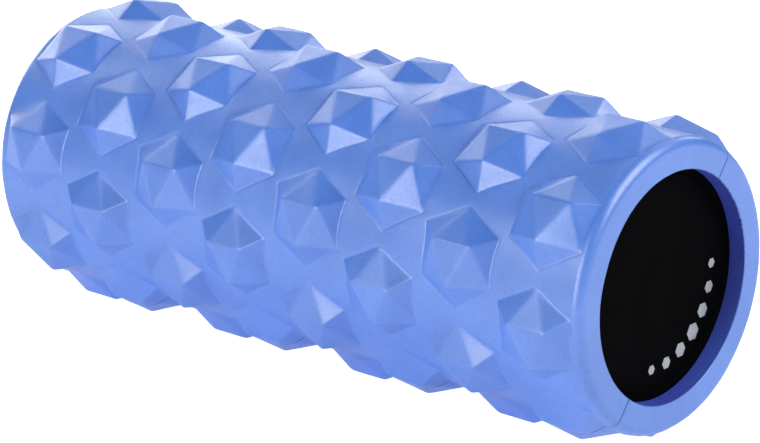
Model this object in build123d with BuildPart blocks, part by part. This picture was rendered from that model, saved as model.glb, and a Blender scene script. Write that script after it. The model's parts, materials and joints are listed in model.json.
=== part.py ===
from build123d import *
import os
from math import cos, radians, sin

# A hollow massage roller, lying along Y with its middle at the origin and +Z up.
# Its foam cover is two half shells that meet on a plane through the axis.
# Lengths are in millimetres and angles in degrees.

# Overall size
length = 334.0
overall_radius = 70.0  # to the corners of the bumps' flat tops

# Foam cover
cover_radius = 62.9  # plain foam between the bumps
cover_edge_radius = 4.5
cover_bore_radius = 50.2
lip_depth = 8.0  # how far the cover runs past the tube at each end
lip_bore_radius = 49.4  # the stretched cover springs back past the tube's end

# Rigid tube, glued inside the cover
tube_radius = 50.0
tube_bore_radius = 46.4
tube_edge_chamfer = 0.4

# Plug pressed into each end of the tube
plug_clearance = 0.1
plug_face_thickness = 2.5
plug_edge_radius = 0.4
plug_skirt_length = 14.0
plug_skirt_wall = 2.0
plug_lead_in = 0.8
plug_rib_count = 6
plug_rib_width = 1.6
plug_rib_height = 4.0
plug_hub_radius = 6.0

# Print on each plug: a row of small hexagons along an arc
print_thickness = 0.1
print_arc_radius = 36.5
print_middle_angle = 138.0  # from +Z towards +X
print_step_angle = 16.0
print_hexagon_radii = [2.2, 2.8, 3.4, 4.0, 3.4, 2.8, 2.2]

# Bumps: rows along the roller, and every second row is shifted by half a pitch
row_count = 16
bumps_per_row = 4
bump_pitch = 82.25
row_angle = 360.0 / row_count
seam_angle = 36.3  # from +Z towards +X: the roller then stands on two rows
bump_sink = 0.3  # depth of the foot corners under the plain foam
bump_root_height = 56.0  # the bump's flat underside, buried in the foam

# Plan of a bump, unrolled on the cover: a hexagonal foot and a triangular top. The foot's corners
# A, C, E lie in line with the top's corners R, P, Q, and B, D, F lie opposite its sides.
foot_corner_radius = 22.0
foot_side_radius = 21.3
top_corner_radius = 11.2
foot_angles = {"C": 30, "B": 90, "A": 150, "F": 210, "E": 270, "D": 330}
top_angles = {"P": 30, "R": 150, "Q": 270}
facets = ["PQR", "PQD", "QRF", "RPB", "PDC", "PCB", "QED", "QFE", "RBA", "RAF"]

tube_length = length - 2 * lip_depth
plug_radius = tube_bore_radius - plug_clearance

os.makedirs("parts", exist_ok=True)


def foot_radius(name):
    """Distance from the middle of a bump to a corner of its foot."""
    return foot_corner_radius if name in "ACE" else foot_side_radius


def raised_corner(plan_radius, plan_angle, height):
    """A point at a height over the axis, above its place on the unrolled cover."""
    along = -plan_radius * cos(radians(plan_angle))
    around = plan_radius * sin(radians(plan_angle)) / cover_radius
    return Vector(height * sin(around), along, height * cos(around))


def bump_corners():
    """The foot and top corners of a bump that stands on the +Z side."""
    corners = {}
    for name, angle in foot_angles.items():
        corners[name] = raised_corner(foot_radius(name), angle, cover_radius - bump_sink)
    for name, angle in top_angles.items():
        corners[name] = raised_corner(top_corner_radius, angle, overall_radius)
    return corners


def facet_plane(corners, names):
    """The plane through three corners, facing away from the roller's axis."""
    first, second, third = (corners[name] for name in names)
    normal = (second - first).cross(third - first)
    if normal.Z < 0:
        normal = normal * -1
    return Plane(origin=first, z_dir=normal)


def make_bump():
    """A hexagonal prism, cut down by the bump's ten facets."""
    corners = bump_corners()
    foot = [(corners[name].X, corners[name].Y) for name in foot_angles]
    with BuildPart() as bump:
        with BuildSketch(Plane.XY.offset(bump_root_height)):
            Polygon(*foot, align=None)
        extrude(amount=overall_radius - bump_root_height + 1)
        for names in facets:
            split(bisect_by=facet_plane(corners, names), keep=Keep.BOTTOM)
    return bump.part


def row_positions(row):
    """Places of a row's bumps along Y: even rows start near the -Y end, odd rows half a pitch later."""
    first = -(bumps_per_row - 0.5) * bump_pitch / 2
    shift = bump_pitch / 2 if row % 2 else 0
    return [first + shift + step * bump_pitch for step in range(bumps_per_row)]


def all_bumps():
    """Every bump in its place. Row 0 lies on the seam."""
    bump = make_bump()
    placed = []
    for row in range(row_count):
        turn = Rot(0, seam_angle + row * row_angle, 0)
        for position in row_positions(row):
            placed.append(turn * Pos(0, position, 0) * bump)
    return placed


# The whole cover, before it is parted
with BuildPart() as cover:
    with BuildSketch(Plane.XY):
        with BuildLine():
            half = length / 2
            shoulder = half - lip_depth
            Polyline(
                (lip_bore_radius, -half),
                (cover_radius, -half),
                (cover_radius, half),
                (lip_bore_radius, half),
                (lip_bore_radius, shoulder),
                (cover_bore_radius, shoulder),
                (cover_bore_radius, -shoulder),
                (lip_bore_radius, -shoulder),
                close=True,
            )
        outline = make_face()
        fillet(outline.vertices().group_by(Axis.X)[-1], cover_edge_radius)
    revolve(axis=Axis.Y)
    add(all_bumps())

# The seam plane holds the axis, and its normal points to the -X side
seam_plane = Plane(
    origin=(0, 0, 0),
    x_dir=(0, 1, 0),
    z_dir=(-cos(radians(seam_angle)), 0, sin(radians(seam_angle))),
)

with BuildPart() as foam_half_front:
    add(cover.part)
    split(bisect_by=seam_plane, keep=Keep.TOP)
foam_half_front.part.label = "foam_half_front"

with BuildPart() as foam_half_rear:
    add(cover.part)
    split(bisect_by=seam_plane, keep=Keep.BOTTOM)
foam_half_rear.part.label = "foam_half_rear"

with BuildPart() as core_tube:
    with BuildSketch(Plane.XZ):
        Circle(tube_radius)
        Circle(tube_bore_radius, mode=Mode.SUBTRACT)
    extrude(amount=tube_length / 2, both=True)
    ends = core_tube.faces().filter_by(Axis.Y)
    chamfer(ends.edges().filter_by(lambda edge: edge.radius < tube_radius), tube_edge_chamfer)
core_tube.part.label = "core_tube"

# The film of glue fills the gap between the tube and the cover
with BuildPart() as glue_film:
    with BuildSketch(Plane.XZ):
        Circle(cover_bore_radius)
        Circle(tube_radius, mode=Mode.SUBTRACT)
    extrude(amount=tube_length / 2, both=True)
glue_film.part.label = "glue_film"

# The -Y plug: a face flush with the tube's end, a skirt down the tube, and a hub with ribs behind the face
plug_face = Plane.XZ.offset(tube_length / 2)
plug_back = Plane.XZ.offset(tube_length / 2 - plug_face_thickness)
rib_length = plug_radius - plug_skirt_wall / 2

with BuildPart() as end_plug_near:
    with BuildSketch(plug_face):
        Circle(plug_radius)
    extrude(amount=-plug_face_thickness)
    with BuildSketch(plug_back):
        Circle(plug_radius)
        Circle(plug_radius - plug_skirt_wall, mode=Mode.SUBTRACT)
    extrude(amount=-plug_skirt_length)
    with BuildSketch(plug_back):
        Circle(plug_hub_radius)
        with PolarLocations(rib_length / 2, plug_rib_count):
            Rectangle(rib_length, plug_rib_width)
    extrude(amount=-plug_rib_height)
    rim_edges = end_plug_near.edges().filter_by(GeomType.CIRCLE).filter_by(
        lambda edge: abs(edge.radius - plug_radius) < plug_clearance
    )
    fillet(rim_edges.group_by(Axis.Y)[0], plug_edge_radius)
    chamfer(rim_edges.group_by(Axis.Y)[-1], plug_lead_in)
end_plug_near.part.label = "end_plug_near"

with BuildPart() as end_plug_far:
    mirror(end_plug_near.part, about=Plane.XZ)
end_plug_far.part.label = "end_plug_far"

# The print is thin hexagons of ink on the plug's face, along an arc about the axis
with BuildPart() as plug_print_near:
    with BuildSketch(plug_face):
        first_angle = print_middle_angle - print_step_angle * (len(print_hexagon_radii) - 1) / 2
        for number, hexagon_radius in enumerate(print_hexagon_radii):
            angle = radians(first_angle + number * print_step_angle)
            with Locations((print_arc_radius * sin(angle), print_arc_radius * cos(angle))):
                RegularPolygon(hexagon_radius, 6)
    extrude(amount=print_thickness)
plug_print_near.part.label = "plug_print_near"

with BuildPart() as plug_print_far:
    mirror(plug_print_near.part, about=Plane.XZ)
plug_print_far.part.label = "plug_print_far"

export_step(foam_half_front.part, "parts/foam_half_front.step")
export_step(foam_half_rear.part, "parts/foam_half_rear.step")
export_step(core_tube.part, "parts/core_tube.step")
export_step(glue_film.part, "parts/glue_film.step")
export_step(end_plug_near.part, "parts/end_plug_near.step")
export_step(end_plug_far.part, "parts/end_plug_far.step")
export_step(plug_print_near.part, "parts/plug_print_near.step")
export_step(plug_print_far.part, "parts/plug_print_far.step")
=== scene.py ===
import json
import math

import bpy
import numpy as np
from mathutils import Matrix, Vector


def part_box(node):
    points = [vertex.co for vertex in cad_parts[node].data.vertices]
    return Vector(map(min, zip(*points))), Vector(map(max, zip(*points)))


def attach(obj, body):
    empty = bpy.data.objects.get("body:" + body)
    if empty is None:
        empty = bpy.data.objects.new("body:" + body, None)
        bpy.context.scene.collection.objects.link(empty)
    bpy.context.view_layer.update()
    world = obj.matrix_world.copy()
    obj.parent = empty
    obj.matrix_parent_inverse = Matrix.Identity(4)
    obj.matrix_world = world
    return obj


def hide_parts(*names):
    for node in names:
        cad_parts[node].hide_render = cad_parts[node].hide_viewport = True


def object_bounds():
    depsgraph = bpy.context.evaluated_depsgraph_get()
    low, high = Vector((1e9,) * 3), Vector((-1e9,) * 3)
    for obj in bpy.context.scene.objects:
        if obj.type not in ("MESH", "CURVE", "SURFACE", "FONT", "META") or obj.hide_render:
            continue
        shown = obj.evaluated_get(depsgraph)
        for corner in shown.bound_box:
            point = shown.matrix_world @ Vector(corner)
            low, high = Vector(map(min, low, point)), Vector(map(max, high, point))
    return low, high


# A foam roller lying along Y. The two foam half shells are built here as dense meshes around the
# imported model; the tube, glue, plugs and print stay as CAD made them, with better materials.
# Lengths are in metres, angles in degrees unless a name says radians.

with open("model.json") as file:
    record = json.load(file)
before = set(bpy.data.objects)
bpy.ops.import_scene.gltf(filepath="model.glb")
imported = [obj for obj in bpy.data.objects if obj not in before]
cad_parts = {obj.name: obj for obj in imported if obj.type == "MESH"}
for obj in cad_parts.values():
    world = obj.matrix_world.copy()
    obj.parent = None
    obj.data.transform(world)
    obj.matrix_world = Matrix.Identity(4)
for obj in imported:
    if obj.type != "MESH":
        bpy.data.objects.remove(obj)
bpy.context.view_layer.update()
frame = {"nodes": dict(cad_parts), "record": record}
mounts = {mount["name"]: mount for mount in frame["record"]["mounts"]}

# Sizes read from the frame
half_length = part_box("foam_half_front")[1].y
tube_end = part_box("core_tube")[1].y
cover_bore_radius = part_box("glue_film")[1].x
lip_bore_radius = mounts["end_recess_near"]["dims"]["r_mm"] / 1000

# Foam cover, as in the CAD
overall_radius = 0.070
cover_radius = 0.0629
rim_radius = 0.0045
seam_angle = 36.3
row_count = 16
row_angle = 360 / row_count
bumps_per_row = 4
bump_pitch = 0.08225
bump_sink = 0.0003
foot_corner_radius = 0.0220
foot_side_radius = 0.0213
top_corner_radius = 0.0112
foot_angles = {"C": 30, "B": 90, "A": 150, "F": 210, "E": 270, "D": 330}
top_angles = {"P": 30, "R": 150, "Q": 270}
facets = ["PQR", "PQD", "QRF", "RPB", "PDC", "PCB", "QED", "QFE", "RBA", "RAF"]

# Softness of the moulded foam
ridge_blend = 0.00024
foot_blend = 0.00015
bore_edge_radius = 0.0005
groove_depth = 0.00014  # a shallow groove runs round each bump's foot
groove_fall = 0.0004  # its middle and its reach, as depths under the cover of the facets carried on
groove_reach = 0.00033
seam_rounding = 0.0003
seam_gap = 0.0003
burr_height = 0.0008  # ragged flash left on the near bore's edge
burr_angles = (36, 90)
burr_fade = 6  # degrees over which the flash begins and ends
corner_jitter = 0.00018
wave_count = 7  # waves of each length
end_wave_stretch = 3.1  # the end faces take their unevenness from other places of the same waves
end_wave_shift = 0.7
end_wave_share = 0.6
top_lowering = 0.0001  # keeps the jittered tops inside the CAD box
waves = [(0.055, 0.00009), (0.024, 0.00004), (0.011, 0.000016)]  # wavelength, height

# Mesh of a half shell
columns = 384  # from seam to seam
fine_columns = 8  # replace the first and last column
outer_rows = 640
largest_cell = 8
normal_limits = {8: 6.0, 4: 8.0, 2: 12.0}


def smooth_waves(angle, along):
    """Low, seeded unevenness of the moulded foam over the unrolled cover."""
    random_waves = np.random.default_rng(11)
    around = 2 * math.pi * cover_radius
    total = np.zeros(np.broadcast(angle, along).shape)
    for wavelength, height in waves:
        for _ in range(wave_count):
            heading = random_waves.uniform(0, 2 * math.pi)
            turns = round(around * math.cos(heading) / wavelength)
            along_rate = math.sin(heading) / wavelength
            phase = random_waves.uniform(0, 2 * math.pi)
            total += height / 2 * np.sin(turns * angle + 2 * math.pi * along_rate * along + phase)
    return total


def raised_corner(plan_radius, plan_angle, height, shift):
    """A point over its place on the unrolled cover, for a bump on the +Z side."""
    along = -plan_radius * math.cos(math.radians(plan_angle)) + shift[0]
    around = (plan_radius * math.sin(math.radians(plan_angle)) + shift[1]) / cover_radius
    height += shift[2]
    return np.array([height * math.sin(around), along, height * math.cos(around)])


def bump_planes(random_bumps):
    """Normal and distance of each of a bump's ten facets."""
    corners = {}
    for name, angle in foot_angles.items():
        radius = foot_corner_radius if name in "ACE" else foot_side_radius
        shift = random_bumps.normal(0, corner_jitter, 3) * [1, 1, 0.3]
        corners[name] = raised_corner(radius, angle, cover_radius - bump_sink, shift)
    for name, angle in top_angles.items():
        shift = random_bumps.normal(0, corner_jitter, 3) * [1, 1, 0.3]
        corners[name] = raised_corner(top_corner_radius, angle, overall_radius - top_lowering, shift)
    planes = []
    for names in facets:
        first, second, third = (corners[name] for name in names)
        normal = np.cross(second - first, third - first)
        normal *= np.sign(normal[2]) / np.linalg.norm(normal)
        planes.append((normal, normal @ first))
    return planes


def place_bumps():
    """Every bump: the angle of its row in radians, its place along Y, and its planes."""
    random_bumps = np.random.default_rng(5)
    bumps = []
    for row in range(row_count):
        first = -(bumps_per_row - 0.5) * bump_pitch / 2 + (bump_pitch / 2 if row % 2 else 0)
        for step in range(bumps_per_row):
            angle = math.radians(seam_angle + row * row_angle)
            bumps.append((angle, first + step * bump_pitch, bump_planes(random_bumps)))
    return bumps


all_bumps = place_bumps()
bump_reach = 0.0245


def cover_height(angle, along):
    """Radius of the foam's outer surface over a grid of angles and places along Y."""
    raised = np.ones((len(angle), len(along)))
    groove = np.zeros(raised.shape)
    for row_turn, middle, planes in all_bumps:
        turn = (angle - row_turn + math.pi) % (2 * math.pi) - math.pi
        near_columns = np.nonzero(np.abs(turn) < bump_reach / cover_radius)[0]
        near_rows = np.nonzero(np.abs(along - middle) < bump_reach)[0]
        if not len(near_columns) or not len(near_rows):
            continue
        across = turn[near_columns][:, None]
        lengthways = (along[near_rows] - middle)[None, :]
        lowest = 0
        for normal, distance in planes:
            facing = normal[0] * np.sin(across) + normal[2] * np.cos(across)
            radius = (distance - normal[1] * lengthways) / np.maximum(facing, 0.05)
            lowest = lowest + np.exp(-(radius - cover_radius) / ridge_blend)
        radius = -ridge_blend * np.log(lowest)
        raised[np.ix_(near_columns, near_rows)] += np.exp(np.minimum(radius / foot_blend, 600))
        from_middle = (radius + groove_fall) / groove_reach
        groove[np.ix_(near_columns, near_rows)] += np.exp(-(from_middle**2))
    height = cover_radius + foot_blend * np.log(raised) - groove_depth * groove
    return height + smooth_waves(angle[:, None], along[None, :])


def end_profile():
    """Radius and place along Y from inside the near bore, round its edge, over the ring and round the rim,
    and the way each point faces, as (outwards, along Y)."""
    points = []
    for depth in np.linspace(half_length - tube_end, bore_edge_radius, 5)[:-1]:
        points.append((lip_bore_radius, -half_length + depth, -1, 0))
    for turn in np.linspace(0, math.pi / 2, 5)[:-1]:
        out = lip_bore_radius + bore_edge_radius * (1 - math.cos(turn))
        along = -half_length + bore_edge_radius * (1 - math.sin(turn))
        points.append((out, along, -math.cos(turn), -math.sin(turn)))
    ring_inside = lip_bore_radius + bore_edge_radius
    for out in np.linspace(ring_inside, cover_radius - rim_radius, 9)[:-1]:
        points.append((out, -half_length, 0, -1))
    for turn in np.linspace(0, math.pi / 2, 9)[:-1]:
        out = cover_radius - rim_radius * (1 - math.sin(turn))
        along = -half_length + rim_radius * (1 - math.cos(turn))
        points.append((out, along, math.sin(turn), -math.cos(turn)))
    return np.array(points)


def shell_lattice(first_angle):
    """Points and normals of a half shell's skin, by column (around) and row (along its profile)."""
    step = math.pi / columns
    fine = step * np.linspace(0, 1, fine_columns + 1)[:-1] ** 1.6
    angles = np.concatenate([fine, np.arange(1, columns) * step, (math.pi - fine)[::-1]])
    angles = angles + first_angle
    ends = end_profile()
    along = np.linspace(-half_length + rim_radius, half_length - rim_radius, outer_rows + 1)
    tiny = 2e-5
    height = cover_height(angles, along)
    turn_slope = (cover_height(angles + tiny / cover_radius, along)
                  - cover_height(angles - tiny / cover_radius, along)) / (2 * tiny)
    along_slope = (cover_height(angles, along + tiny) - cover_height(angles, along - tiny)) / (2 * tiny)

    out_way = np.stack([np.sin(angles), np.zeros_like(angles), np.cos(angles)], 1)[:, None, :]
    turn_way = np.stack([np.cos(angles), np.zeros_like(angles), -np.sin(angles)], 1)[:, None, :]
    y_way = np.array([0.0, 1.0, 0.0])[None, None, :]
    outer = out_way * height[:, :, None] + y_way * along[None, :, None]
    outer_normal = out_way - turn_way * turn_slope[:, :, None] - y_way * along_slope[:, :, None]

    random_burrs = np.random.default_rng(3)
    degrees = np.degrees(angles) % 360
    burrs = burr_height * random_burrs.uniform(0, 1, len(angles)) ** 3
    burrs *= np.clip((degrees - burr_angles[0]) / burr_fade, 0, 1)
    burrs *= np.clip((burr_angles[1] - degrees) / burr_fade, 0, 1)
    burr_slope = np.gradient(burrs, lip_bore_radius * angles)

    parts, normals = [], []
    for side in (1, -1):
        rows = ends if side == 1 else ends[::-1]
        end_places = rows[:, 0] * end_wave_stretch + end_wave_shift * side
        uneven = smooth_waves(angles[:, None], end_places[None, :]) * end_wave_share
        spread = uneven * np.abs(rows[:, 3])[None, :]
        along_rows = side * (rows[:, 1][None, :] + spread)
        place = out_way * rows[None, :, 0, None] + y_way * along_rows[:, :, None]
        facing = out_way * rows[None, :, 2, None] + y_way * (side * rows[:, 3])[None, :, None]
        grow = cover_height(angles, np.array([side * (-half_length + rim_radius)])) - cover_radius
        share = np.clip((rows[:, 0] - cover_radius + rim_radius) / rim_radius, 0, 1)
        place = place + out_way * (grow * share[None, :])[:, :, None]
        if side == 1:
            on_edge = rows[:, 0] < lip_bore_radius + bore_edge_radius / 2
            on_edge &= rows[:, 1] < 0.001 - half_length
            place = place - out_way * (burrs[:, None] * on_edge[None, :])[:, :, None]
            facing = facing - turn_way * (burr_slope[:, None] * on_edge[None, :])[:, :, None]
        parts.append(place)
        normals.append(np.broadcast_to(facing, place.shape))
    points = np.concatenate([parts[0], outer, parts[1]], 1)
    normals = np.concatenate([normals[0], outer_normal, normals[1]], 1)
    normals = normals / np.linalg.norm(normals, axis=2, keepdims=True)

    # round the edge along each seam
    into = np.array([math.cos(first_angle), 0.0, -math.sin(first_angle)])
    from_seam = np.einsum("ijk,k->ij", points, into)
    from_seam = np.clip(from_seam, 0, seam_rounding)
    drop = seam_rounding - np.sqrt(seam_rounding**2 - (seam_rounding - from_seam) ** 2)
    flat_normal = normals - np.einsum("ijk,k->ij", normals, into)[:, :, None] * into
    flat_normal = flat_normal / np.maximum(np.linalg.norm(flat_normal, axis=2, keepdims=True), 1e-9)
    rounded = (seam_rounding - from_seam) / seam_rounding
    points = points - flat_normal * drop[:, :, None]
    share = rounded[:, :, None]
    normals = normals * np.sqrt(1 - share**2) - into * share
    normals = normals / np.linalg.norm(normals, axis=2, keepdims=True)
    return points + into * (seam_gap / 2), normals, into


def choose_cells(normals):
    """Square blocks of the lattice, large where the skin is nearly flat: lists of (column, row, size)."""
    width, depth = normals.shape[0] - 1, normals.shape[1] - 1
    cells = []
    starts = [(i, j) for i in range(0, width, largest_cell) for j in range(0, depth, largest_cell)]
    open_cells = np.array(starts)
    size = largest_cell
    while size > 1:
        fits = (open_cells[:, 0] + size <= width) & (open_cells[:, 1] + size <= depth)
        offsets = [(a, b) for a in range(0, size + 1) for b in range(0, size + 1)]
        spread = np.full(len(open_cells), 180.0)
        inside = open_cells[fits]
        block = np.stack([normals[inside[:, 0] + a, inside[:, 1] + b] for a, b in offsets], 1)
        mean = block.mean(1)
        mean /= np.linalg.norm(mean, axis=1, keepdims=True)
        least = np.einsum("nbk,nk->nb", block, mean).min(1)
        spread[fits] = 2 * np.degrees(np.arccos(np.clip(least, -1, 1)))
        kept = spread < normal_limits[size]
        cells += [(i, j, size) for i, j in open_cells[kept]]
        size //= 2
        split = open_cells[~kept]
        open_cells = np.concatenate([split + [a, b] for a in (0, size) for b in (0, size)])
        inside = (open_cells[:, 0] < width) & (open_cells[:, 1] < depth)
        open_cells = open_cells[inside]
    cells += [(i, j, 1) for i, j in open_cells]
    return cells


def half_shell(name, first_angle, material):
    """A closed foam half shell, from the seam at first_angle to the opposite one."""
    points, normals, into = shell_lattice(math.radians(first_angle))
    cells = choose_cells(normals)
    used = np.zeros(points.shape[:2], bool)
    for i, j, size in cells:
        used[i, j] = used[i + size, j] = used[i, j + size] = used[i + size, j + size] = True
    number = np.full(used.shape, -1)
    number[used] = np.arange(used.sum())
    vertices = list(map(tuple, points[used]))
    loop_source = list(map(tuple, normals[used]))
    faces, face_normals = [], []

    for i, j, size in cells:
        if size == 1:
            loop = [number[i, j], number[i + 1, j], number[i + 1, j + 1], number[i, j + 1]]
        else:
            loop = [number[i + k, j] for k in range(size)]
            loop += [number[i + size, j + k] for k in range(size)]
            loop += [number[i + size - k, j + size] for k in range(size)]
            loop += [number[i, j + size - k] for k in range(size)]
            loop = [v for v in loop if v >= 0]
        faces.append([int(v) for v in loop])
        face_normals.append(None)

    # the bore wall and the step at each end, between the two lip rows
    last = points.shape[1] - 1
    near = [(int(number[i, 0]), i) for i in range(points.shape[0]) if used[i, 0]]
    far = [(int(number[i, last]), i) for i in range(points.shape[0]) if used[i, last]]
    inner = {}
    for side, row in ((-1, near), (1, far)):
        for vertex, i in row:
            place = points[i, 0 if side < 0 else last].copy()
            seam_part = into * (seam_gap / 2)
            radial = place - seam_part
            radial[1] = 0
            length = np.linalg.norm(radial)
            place = radial / length * cover_bore_radius + seam_part
            place[1] = side * tube_end
            inner[vertex] = len(vertices)
            vertices.append(tuple(place))
            loop_source.append(tuple(-radial / length))
    for row, side in ((near, -1), (far, 1)):
        for (a, _), (b, _) in zip(row, row[1:]):
            loop = [a, inner[a], inner[b], b] if side < 0 else [b, inner[b], inner[a], a]
            faces.append(loop)
            face_normals.append((0.0, float(-side), 0.0))
    near_inner = {i: inner[v] for v, i in near}
    far_inner = {i: inner[v] for v, i in far}
    shared = sorted(set(near_inner) & set(far_inner))
    for a, b in zip(shared, shared[1:]):
        low = [near_inner[i] for i in sorted(near_inner) if a <= i <= b]
        high = [far_inner[i] for i in sorted(far_inner) if a <= i <= b]
        faces.append(low[::-1] + high)
        face_normals.append("bore")

    # the two flat faces on the seam plane
    edge = points.shape[0] - 1
    for i, flip in ((0, True), (edge, False)):
        loop = [int(number[i, j]) for j in range(points.shape[1]) if used[i, j]]
        loop = loop + [inner[loop[-1]], inner[loop[0]]]
        faces.append(loop if flip else loop[::-1])
        face_normals.append(tuple(-into))

    mesh = bpy.data.meshes.new(name)
    mesh.from_pydata(vertices, [], faces)
    mesh.validate()
    mesh.polygons.foreach_set("use_smooth", np.ones(len(mesh.polygons), bool))
    custom = []
    for face, normal in zip(faces, face_normals):
        for v in face:
            custom.append(normal if isinstance(normal, tuple) else loop_source[v])
    mesh.normals_split_custom_set(custom)
    mesh.materials.append(material)
    piece = bpy.data.objects.new(name, mesh)
    bpy.context.scene.collection.objects.link(piece)
    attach(piece, "root")
    return piece


# Materials

# the bore's place also carries painted shade: the foam's colour there is darkened for the shade inside the
# end recess
cut_radii = (lip_bore_radius + 0.0001, lip_bore_radius + 0.0004)  # the bore's cut foam fades into the skin
lip_depths = (half_length - 0.0005, half_length - 0.0002)  # places along Y where the skin takes over again
seam_line = (0.00015, 0.00032)  # half widths of the dark line along the seam: full and gone
seam_darkness = 0.6


class Nodes:
    """Builds a node material. add() makes a node and sets its inputs, each a value or another's output."""

    def __init__(self, name):
        self.material = bpy.data.materials.new(name)
        self.material.use_nodes = True
        self.tree = self.material.node_tree
        self.tree.nodes.clear()

    def add(self, kind, inputs=None, **settings):
        node = self.tree.nodes.new(kind)
        for key, value in settings.items():
            setattr(node, key, value)
        for key, value in (inputs or {}).items():
            if isinstance(value, bpy.types.NodeSocket):
                self.tree.links.new(value, node.inputs[key])
            else:
                node.inputs[key].default_value = value
        return node

    def noise(self, vector, scale, detail=3, roughness=0.5):
        inputs = {"Vector": vector, "Scale": scale, "Detail": detail, "Roughness": roughness}
        return self.add("ShaderNodeTexNoise", inputs).outputs["Fac"]

    def spread(self, value, low, high, to_low, to_high):
        inputs = {"Value": value, "From Min": low, "From Max": high, "To Min": to_low, "To Max": to_high}
        return self.add("ShaderNodeMapRange", inputs).outputs["Result"]

    def ramp(self, value, stops):
        node = self.add("ShaderNodeValToRGB", {"Fac": value})
        elements = node.color_ramp.elements
        for _ in stops[2:]:
            elements.new(0.5)
        for element, (position, color) in zip(elements, stops):
            element.position = position
            element.color = (*color, 1)
        return node.outputs["Color"]

    def bump(self, height, distance, strength=1.0, normal=None):
        inputs = {"Height": height, "Distance": distance, "Strength": strength}
        if normal is not None:
            inputs["Normal"] = normal
        return self.add("ShaderNodeBump", inputs).outputs["Normal"]

    def surface(self, **inputs):
        sockets = {key.replace("_", " "): value for key, value in inputs.items()}
        shader = self.add("ShaderNodeBsdfPrincipled", sockets)
        output = self.add("ShaderNodeOutputMaterial")
        self.tree.links.new(shader.outputs["BSDF"], output.inputs["Surface"])
        return self.material


def foam_material():
    """Closed-cell foam: a moulded skin with a fine grain, soft shine, faint clouds and speckle of colour,
    a few specks and a dark line along the seam. The bore is cut and dull, and its colour is painted darker
    as the shade inside the end recess."""
    n = Nodes("foam_skin")
    place = n.add("ShaderNodeTexCoord").outputs["Object"]

    def vector(operation, *inputs):
        node = n.add("ShaderNodeVectorMath", dict(enumerate(inputs)), operation=operation)
        return node.outputs["Value" if operation in ("LENGTH", "DOT_PRODUCT") else "Vector"]

    def number(operation, *inputs):
        return n.add("ShaderNodeMath", dict(enumerate(inputs)), operation=operation).outputs["Value"]

    def mix(share, first, second):
        inputs = {"Fac": share, "Color1": first, "Color2": second}
        return n.add("ShaderNodeMixRGB", inputs).outputs["Color"]

    clouds = n.noise(place, 38, 3, 0.55)
    speckle = n.noise(place, 1300, 1)
    shade = n.spread(number("ADD", clouds, speckle), 0.7, 1.3, 0, 1)
    skin_color = n.ramp(shade, [(0.1, (0.080, 0.216, 0.715)), (0.9, (0.114, 0.273, 0.835))])
    # painted shade: the bore's colour is far darker than the skin's, standing for the shade inside the end
    # recess; its dullness is the cut foam's own
    bore_shade_color = n.ramp(clouds, [(0.3, (0.004, 0.033, 0.44)), (0.7, (0.008, 0.045, 0.52))])

    radius = vector("LENGTH", vector("MULTIPLY", place, (1, 0, 1)))
    depth = vector("LENGTH", vector("MULTIPLY", place, (0, 1, 0)))
    out_of_bore = n.spread(radius, *cut_radii, 0, 1)
    on_lip = n.spread(depth, *lip_depths, 0, 1)
    on_skin = number("MAXIMUM", out_of_bore, on_lip)
    color = mix(on_skin, bore_shade_color, skin_color)
    seam_way = (-math.cos(math.radians(seam_angle)), 0, math.sin(math.radians(seam_angle)))
    from_seam = number("ABSOLUTE", vector("DOT_PRODUCT", place, seam_way))
    in_seam = n.spread(from_seam, *seam_line, seam_darkness, 0)
    color = mix(in_seam, color, (0.01, 0.02, 0.12, 1))
    specks = n.spread(n.noise(place, 330, 1), 0.78, 0.82, 0, 0.2)
    color = mix(specks, color, (0.03, 0.06, 0.3, 1))

    dull = n.spread(n.noise(place, 150, 4, 0.6), 0.3, 0.7, 0.35, 0.41)
    sparkle = n.spread(speckle, 0.3, 0.7, 1.16, 0.84)
    roughness = n.spread(on_skin, 0, 1, 0.8, number("MULTIPLY", dull, sparkle))
    skin = n.bump(n.noise(place, 420, 2, 0.5), 0.00005, 0.5)
    skin = n.bump(n.noise(place, 1000, 2, 0.6), 0.00007, 0.5, skin)
    return n.surface(Base_Color=color, Roughness=roughness, IOR=1.6, Specular_IOR_Level=1.0, Normal=skin)


def plastic_material(name, color, roughness, bump_height, shine=0.5, metal=0.0):
    """Moulded plastic with a fine spark-eroded texture."""
    n = Nodes(name)
    place = n.add("ShaderNodeTexCoord").outputs["Object"]
    shade = n.noise(place, 60, 3)
    tint = n.ramp(shade, [(0.3, tuple(c * 0.85 for c in color)), (0.7, tuple(c * 1.15 for c in color))])
    texture = n.noise(place, 1800, 3, 0.65)
    wear = n.noise(place, 90, 5, 0.6)
    rough = n.spread(wear, 0.3, 0.7, roughness - 0.05, roughness + 0.05)
    return n.surface(Base_Color=tint, Roughness=rough, IOR=1.5, Specular_IOR_Level=shine, Metallic=metal,
                     Normal=n.bump(texture, bump_height, 0.5))


def dress(node, material):
    """Puts a material on a CAD node in place of its own."""
    mesh = frame["nodes"][node].data
    mesh.materials.clear()
    mesh.materials.append(material)


foam = foam_material()
front = half_shell("foam_shell_front", seam_angle - 180, foam)
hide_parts("foam_half_front")
rear = half_shell("foam_shell_rear", seam_angle, foam)
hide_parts("foam_half_rear")

plug = plastic_material("plug_plastic", (0.0020, 0.0019, 0.0024), 0.55, 0.00001, 0.01)
dress("end_plug_near", plug)
dress("end_plug_far", plug)
dress("core_tube", plastic_material("tube_plastic", (0.0022, 0.0022, 0.0026), 0.6, 0.00002, 0.015))
dress("glue_film", plastic_material("glue_film", (0.55, 0.48, 0.33), 0.35, 0.00003))
ink = plastic_material("silver_ink", (0.46, 0.49, 0.52), 0.38, 0.00001, 0.5, 0.7)
dress("plug_print_near", ink)
dress("plug_print_far", ink)


# Floor, lights and camera

floor_size = 8.0
floor_glow = 0.32  # the table is bright all round, so it lights the roller from below
camera_lift = 0.6  # added for camera rays only, so the floor shows as pure white


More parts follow.
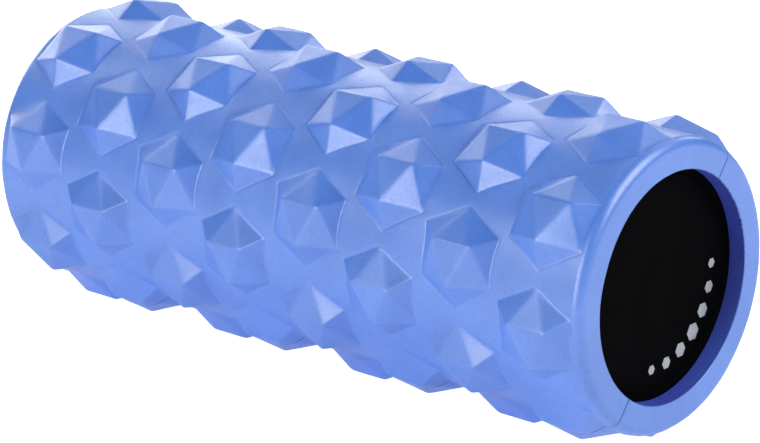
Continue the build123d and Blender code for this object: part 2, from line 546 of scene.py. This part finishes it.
def floor_material():
    """Near-white paper, lifted for the camera to the white of an overexposed backdrop."""
    n = Nodes("studio_floor")
    place = n.add("ShaderNodeTexCoord").outputs["Object"]
    shade = n.noise(place, 3, 2)
    tint = n.ramp(shade, [(0.3, (0.80, 0.80, 0.80)), (0.7, (0.82, 0.82, 0.82))])
    paper = n.add("ShaderNodeBsdfDiffuse", {"Color": tint, "Roughness": 0.6}).outputs["BSDF"]
    seen = n.add("ShaderNodeLightPath").outputs["Is Camera Ray"]
    strength = n.spread(seen, 0, 1, floor_glow, floor_glow + camera_lift)
    glow = n.add("ShaderNodeEmission", {"Color": (1, 1, 1, 1), "Strength": strength}).outputs["Emission"]
    lit = n.add("ShaderNodeAddShader", {0: paper, 1: glow}).outputs["Shader"]
    n.add("ShaderNodeOutputMaterial", {"Surface": lit})
    return n.material


def make_floor():
    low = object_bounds()[0].z
    half = floor_size / 2
    corners = [(-half, -half, low), (half, -half, low), (half, half, low), (-half, half, low)]
    mesh = bpy.data.meshes.new("studio_floor")
    mesh.from_pydata(corners, [], [(0, 1, 2, 3)])
    mesh.materials.append(floor_material())
    floor = bpy.data.objects.new("studio_floor", mesh)
    bpy.context.scene.collection.objects.link(floor)


light_distance = 1.7
softboxes = [  # name, azimuth, elevation, size in metres, power in watts
    ("key", 269, 13, 0.8, 11.8),
    ("key_left", 245, 23, 0.7, 4.3),
    ("near_high", 15, 42, 1.2, 23.0),
    ("back_low", 145, 8, 0.7, 4.4),
    ("back_low_left", 165, 8, 0.7, 5.5),
    ("back_right", 125, 22, 0.7, 3.8),
    ("back_high", 145, 36, 0.7, 3.2),
    ("back_high_left", 185, 36, 0.7, 3.2),
    ("right_high", 100, 52, 0.7, 1.5),
    ("right", 88, 28, 0.35, 3.0),
]


def area_light(name, azimuth, elevation, size, power):
    """A square, white softbox aimed at the roller. Azimuth 0 is towards -Y and 90 towards +X."""
    a, e = math.radians(azimuth), math.radians(elevation)
    way = Vector((math.sin(a) * math.cos(e), -math.cos(a) * math.cos(e), math.sin(e)))
    data = bpy.data.lights.new(name, "AREA")
    data.shape = "SQUARE"
    data.size = size
    data.energy = power
    lamp = bpy.data.objects.new(name, data)
    lamp.location = way * light_distance
    lamp.rotation_euler = way.to_track_quat("Z", "Y").to_euler()
    bpy.context.scene.collection.objects.link(lamp)


camera_azimuth = -48.9932
camera_elevation = 17.6588
camera_roll = -0.15943
camera_distance = 1.53
camera_aim = (-0.01042, -0.01706, 8e-05)
camera_lens = 167.746


def make_camera():
    a, e = math.radians(camera_azimuth), math.radians(camera_elevation)
    back = Vector((math.sin(a) * math.cos(e), -math.cos(a) * math.cos(e), math.sin(e)))
    data = bpy.data.cameras.new("camera")
    data.lens = camera_lens
    data.sensor_width = 36
    data.clip_start = 0.05
    data.clip_end = 50
    camera = bpy.data.objects.new("camera", data)
    turn = back.to_track_quat("Z", "Y").to_matrix() @ Matrix.Rotation(math.radians(camera_roll), 3, "Z")
    camera.matrix_world = Matrix.Translation(Vector(camera_aim) + back * camera_distance) @ turn.to_4x4()
    bpy.context.scene.collection.objects.link(camera)
    bpy.context.scene.camera = camera


def make_dark_world():
    """A world without light of its own: all of it comes from the softboxes and the floor."""
    world = bpy.data.worlds.new("studio")
    world.use_nodes = True
    background = world.node_tree.nodes["Background"]
    background.inputs["Color"].default_value = (1, 1, 1, 1)
    background.inputs["Strength"].default_value = 0
    bpy.context.scene.world = world


make_floor()
make_camera()
make_dark_world()
for softbox in softboxes:
    area_light(*softbox)
bpy.context.scene.view_settings.view_transform = "Standard"
